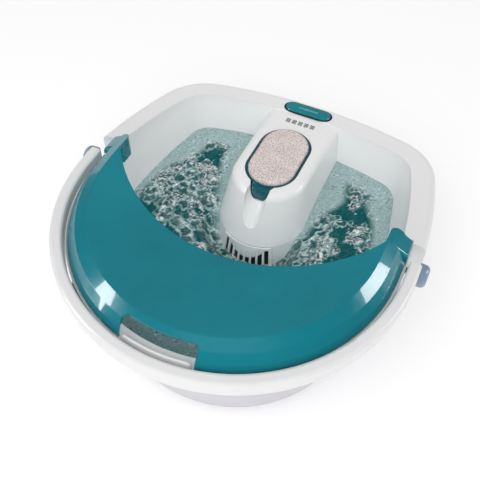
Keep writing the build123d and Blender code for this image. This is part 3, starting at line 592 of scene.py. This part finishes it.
def froth(height, tint, across, along, wall, depth, gather):
    """Scatters the bubbles: few in calm water, small ones by the walls, crowded large ones in mid bay."""
    rng = random.Random(BUBBLE_SEED)
    wet = np.argwhere(wall > BUBBLE_SHORE)
    swirl = [SWIRL * stir(across, along, 170.0, seed) for seed in (31.7, 37.2)]
    kept = []
    while len(kept) < BUBBLES:
        i, j = wet[rng.randrange(len(wet))]
        lively = depth[i, j]
        lonely = lively > 0.5 and gather[i, j] < CROWDED
        if rng.random() > at_least(LEAST_CROWD, lively) or (lonely and rng.random() > STRAYS):
            continue
        share = rng.random() ** MOSTLY_SMALL
        radius = SMALLEST + share * (LARGEST - SMALLEST) * at_least(LEAST_SIZE, lively)
        radius = min(radius, max(wall[i, j] * 0.9, SMALLEST))
        x = across[i] + rng.uniform(-1, 1) * CELL
        y = along[j] + rng.uniform(-1, 1) * CELL
        kept.append((radius, x, y))
    kept.sort(reverse=True)
    for radius, x, y in kept:
        blow_bubble(rng, height, tint, across, along, swirl, (x, y), radius)


def water_mesh(across, along, mask, height):
    """Closed sheet: the bubbly top over the mask, an underside below it, and sides inside the wall."""
    index = np.full(mask.shape, -1)
    index[mask] = np.arange(mask.sum())
    spots = np.argwhere(mask)
    top = [(across[i], along[j], WATER_Z + height[i, j]) for i, j in spots]
    count = len(top)
    under = [(x, y, z - WATER_THICK) for x, y, z in top]
    faces = []
    edges = {}
    whole = mask[:-1, :-1] & mask[1:, :-1] & mask[1:, 1:] & mask[:-1, 1:]
    for i, j in np.argwhere(whole):
        face = (int(index[i, j]), int(index[i + 1, j]), int(index[i + 1, j + 1]), int(index[i, j + 1]))
        faces.append(face)
        faces.append(tuple(v + count for v in reversed(face)))
        for a, b in zip(face, face[1:] + face[:1]):  # an edge met from both sides is inside the sheet
            if (b, a) in edges:
                del edges[(b, a)]
            else:
                edges[(a, b)] = True
    faces += [(a, a + count, b + count, b) for a, b in edges]
    return top + under, faces, spots


def water_material():
    material, tree, shader = new_material("bath_water")
    colour = tree.nodes.new("ShaderNodeVertexColor")
    colour.layer_name = "tint"
    fleck = ramp(tree, noise(tree, 420.0, 4.0, 0.6), [(0.35, grey(0.82)), (0.65, grey(1.15))])
    tree.links.new(mix(tree, "MULTIPLY", 1.0, colour.outputs["Color"], fleck), shader.inputs["Base Color"])
    shader.inputs["Roughness"].default_value = 0.07
    shader.inputs["IOR"].default_value = 1.33
    shader.inputs["Coat Weight"].default_value = 0.15
    shader.inputs["Coat Roughness"].default_value = 0.02
    bump(tree, shader, noise(tree, 260.0, 3.0), 0.25, 0.0006)
    return material


LEAST_CURL = 0.15  # how strong the curls are in the calmest water
SWELL_MIDDLE, SWELL = 0.0003, 0.0004  # the surface before the bubbles


def bath_water():
    """The bubbling water in the basin. Each stir takes a noise scale and a seed."""
    across, along, wall = water_grid()
    depth = settle(wall, along, stir(across, along, 26.0, 2.1))
    tint = blend(PALE, DEEP, depth)
    gather = stir(across, along, 34.0, 7.3)
    tint = blend(tint, WEB, foam_web(across, along, depth, gather))
    height = SWELL_MIDDLE + SWELL * stir(across, along, 90.0, 4.4)
    froth(height, tint, across, along, wall, depth, gather)
    curl(height, tint, across, along, at_least(LEAST_CURL, depth), gather)
    height -= draw_down(across, along, wall)
    points, faces, spots = water_mesh(across, along, grown(wall >= 0), height)
    piece = new_piece("bath_water", points, faces, water_material())
    layer = piece.data.color_attributes.new("tint", "FLOAT_COLOR", "POINT")
    rows = np.ones((len(spots), 4))
    rows[:, :3] = tint[spots[:, 0], spots[:, 1]]
    layer.data.foreach_set("color", np.vstack([rows, rows]).ravel())


bath_water()

# ---------------------------------------------------------------- printed wave marks
MARKS = 5
MARK_PITCH = 0.0078
MARK_Y = 0.1635
WAVE_LONG = 0.0064
WAVE_TALL = 0.0006
WAVE_GAP = 0.0026
INK_WIDE = 0.0016
INK_THICK = 0.00012
WAVE_STEPS = 24
INK_TAPER = 6  # the higher, the blunter the ends
ABOVE = 1.0  # a height to look down from


def on_crown(x, y):
    """Height of the island's top at a point."""
    return BASIN.ray_cast(Vector((x, y, ABOVE)), DOWN)[0].z


def wave_ribbon(middle_x, middle_y, points, faces):
    """One printed wave line that follows the surface, as a thin closed ribbon."""
    first = len(points)
    for step in range(WAVE_STEPS + 1):
        share = step / WAVE_STEPS - 0.5
        x = middle_x + share * WAVE_LONG
        y = middle_y + WAVE_TALL * math.sin(share * 4 * math.pi)
        half = INK_WIDE / 2 * (1 - (2 * abs(share)) ** INK_TAPER)
        for side, lift in ((-half, 0), (half, 0), (half, INK_THICK), (-half, INK_THICK)):
            points.append((x, y + side, on_crown(x, y + side) + lift - INK_THICK / 4))
    for step in range(WAVE_STEPS):
        a = first + 4 * step
        for k in range(4):
            n = (k + 1) % 4
            faces.append((a + k, a + n, a + 4 + n, a + 4 + k))
    last = first + 4 * WAVE_STEPS
    faces.append((first + 3, first + 2, first + 1, first))
    faces.append((last, last + 1, last + 2, last + 3))


def printed_marks():
    """A row of marks across the island, each of three wave lines."""
    points, faces = [], []
    for k in range(MARKS):
        x = (k - (MARKS - 1) / 2) * MARK_PITCH
        for line in (-1, 0, 1):
            wave_ribbon(x, MARK_Y + line * WAVE_GAP, points, faces)
    new_piece("wave_marks", points, faces, DARK_RUBBER)


printed_marks()

# ---------------------------------------------------------------- camera
TARGET = Vector((0.0, -0.016, 0.165))
AZIMUTH = math.radians(25.55)
ELEVATION = math.radians(50.09)
DISTANCE = 0.7464
SENSOR = 36.0
FOCAL = SENSOR * 1.478  # long side of the sensor to focal length
SHIFT = (0.0067, -0.0523)
CLIP_START = 0.01


def direction(azimuth, elevation):
    """Unit vector from the object, azimuth 0 towards -Y and growing towards +X."""
    flat = math.cos(elevation)
    return Vector((math.sin(azimuth) * flat, -math.cos(azimuth) * flat, math.sin(elevation)))


def place(data, location, aim):
    thing = bpy.data.objects.new(data.name, data)
    bpy.context.scene.collection.objects.link(thing)
    thing.location = location
    thing.rotation_euler = (Vector(aim) - Vector(location)).to_track_quat("-Z", "Y").to_euler()
    return thing


def camera():
    data = bpy.data.cameras.new("camera")
    data.sensor_width = SENSOR
    data.lens = FOCAL
    data.shift_x, data.shift_y = SHIFT
    data.clip_start = CLIP_START
    bpy.context.scene.camera = place(data, TARGET + direction(AZIMUTH, ELEVATION) * DISTANCE, TARGET)


# ---------------------------------------------------------------- floor and soft studio light
FLOOR_HALF = 8.0
FLOOR_GLOW = 0.2


def floor():
    """A white floor, glowing a little so that it reaches the photo's white."""
    corners = [(x * FLOOR_HALF, y * FLOOR_HALF, 0) for x, y in ((-1, -1), (1, -1), (1, 1), (-1, 1))]
    mesh = bpy.data.meshes.new("floor")
    mesh.from_pydata(corners, [], [(0, 1, 2, 3)])
    material, tree, shader = new_material("floor")
    shader.inputs["Base Color"].default_value = (0.94, 0.94, 0.94, 1)
    shader.inputs["Roughness"].default_value = 0.9
    shader.inputs["Specular IOR Level"].default_value = 0.1
    shader.inputs["Emission Color"].default_value = (1, 1, 1, 1)
    shader.inputs["Emission Strength"].default_value = FLOOR_GLOW
    mesh.materials.append(material)
    plane = bpy.data.objects.new("floor", mesh)
    bpy.context.scene.collection.objects.link(plane)


def passed_by_guard():
    """The clear guard lets the studio light through, so it blocks none of it."""
    blockers = bpy.data.collections.new("blockers")
    blockers.objects.link(NODES["splash_guard"])
    blockers.collection_objects[0].light_linking.link_state = "EXCLUDE"
    return blockers


def softbox(name, azimuth, elevation, distance, size, radiance, aim, lit=False):
    """A rectangular panel of even brightness that faces the aim.

    It either lights the scene or shows in gloss, not both.
    """
    data = bpy.data.lights.new(name, "AREA")
    data.shape = "RECTANGLE"
    data.size, data.size_y = size
    data.energy = radiance * math.pi * size[0] * size[1]
    away = direction(math.radians(azimuth), math.radians(elevation))
    panel = place(data, Vector(aim) + away * distance, aim)
    panel.visible_diffuse = lit
    panel.visible_glossy = not lit
    if lit:
        panel.light_linking.blocker_collection = BLOCKERS


SURROUND = 0.64
SURROUND_IN_GLOSS = 0.12


def studio_world():
    """Even white surroundings that look dimmer in reflections, as the walls of a dark studio do."""
    world = bpy.data.worlds.new("world")
    bpy.context.scene.world = world
    world.use_nodes = True
    tree = world.node_tree
    path = tree.nodes.new("ShaderNodeLightPath")
    level = tree.nodes.new("ShaderNodeMapRange")
    level.inputs["To Min"].default_value = SURROUND
    level.inputs["To Max"].default_value = SURROUND_IN_GLOSS
    tree.links.new(path.outputs["Is Glossy Ray"], level.inputs["Value"])
    tree.links.new(level.outputs["Result"], tree.nodes["Background"].inputs["Strength"])
    tree.nodes["Background"].inputs["Color"].default_value = (1, 1, 1, 1)


BLOCKERS = passed_by_guard()
camera()
floor()
studio_world()

GLOSS_FAR, LIT_FAR = 1.5, 2.2  # distances of the panels
MIDDLE = (0, 0, 0.1)
LEFT_BAND = (-0.07, -0.16, 0.17)  # places on the guard where the photo shows a reflected panel
RIGHT_BAND = (0.16, -0.04, 0.17)
LEFT_RIDGE = (-0.06, -0.16, 0.18)
softbox("softbox_left", -60, 20, GLOSS_FAR, size=(0.42, 0.95), radiance=15.0, aim=LEFT_BAND)
softbox("softbox_right", 120, 22, GLOSS_FAR, size=(0.48, 0.8), radiance=12.5, aim=RIGHT_BAND)
softbox("crease_left", -80, 52, GLOSS_FAR, size=(0.3, 0.3), radiance=22.0, aim=LEFT_RIDGE)
softbox("key", 15, 50, LIT_FAR, size=(1.7, 1.7), radiance=2.1, aim=MIDDLE, lit=True)
softbox("fill", -40, 43, LIT_FAR, size=(1.5, 1.3), radiance=0.3, aim=MIDDLE, lit=True)
bpy.context.scene.view_settings.view_transform = "Standard"
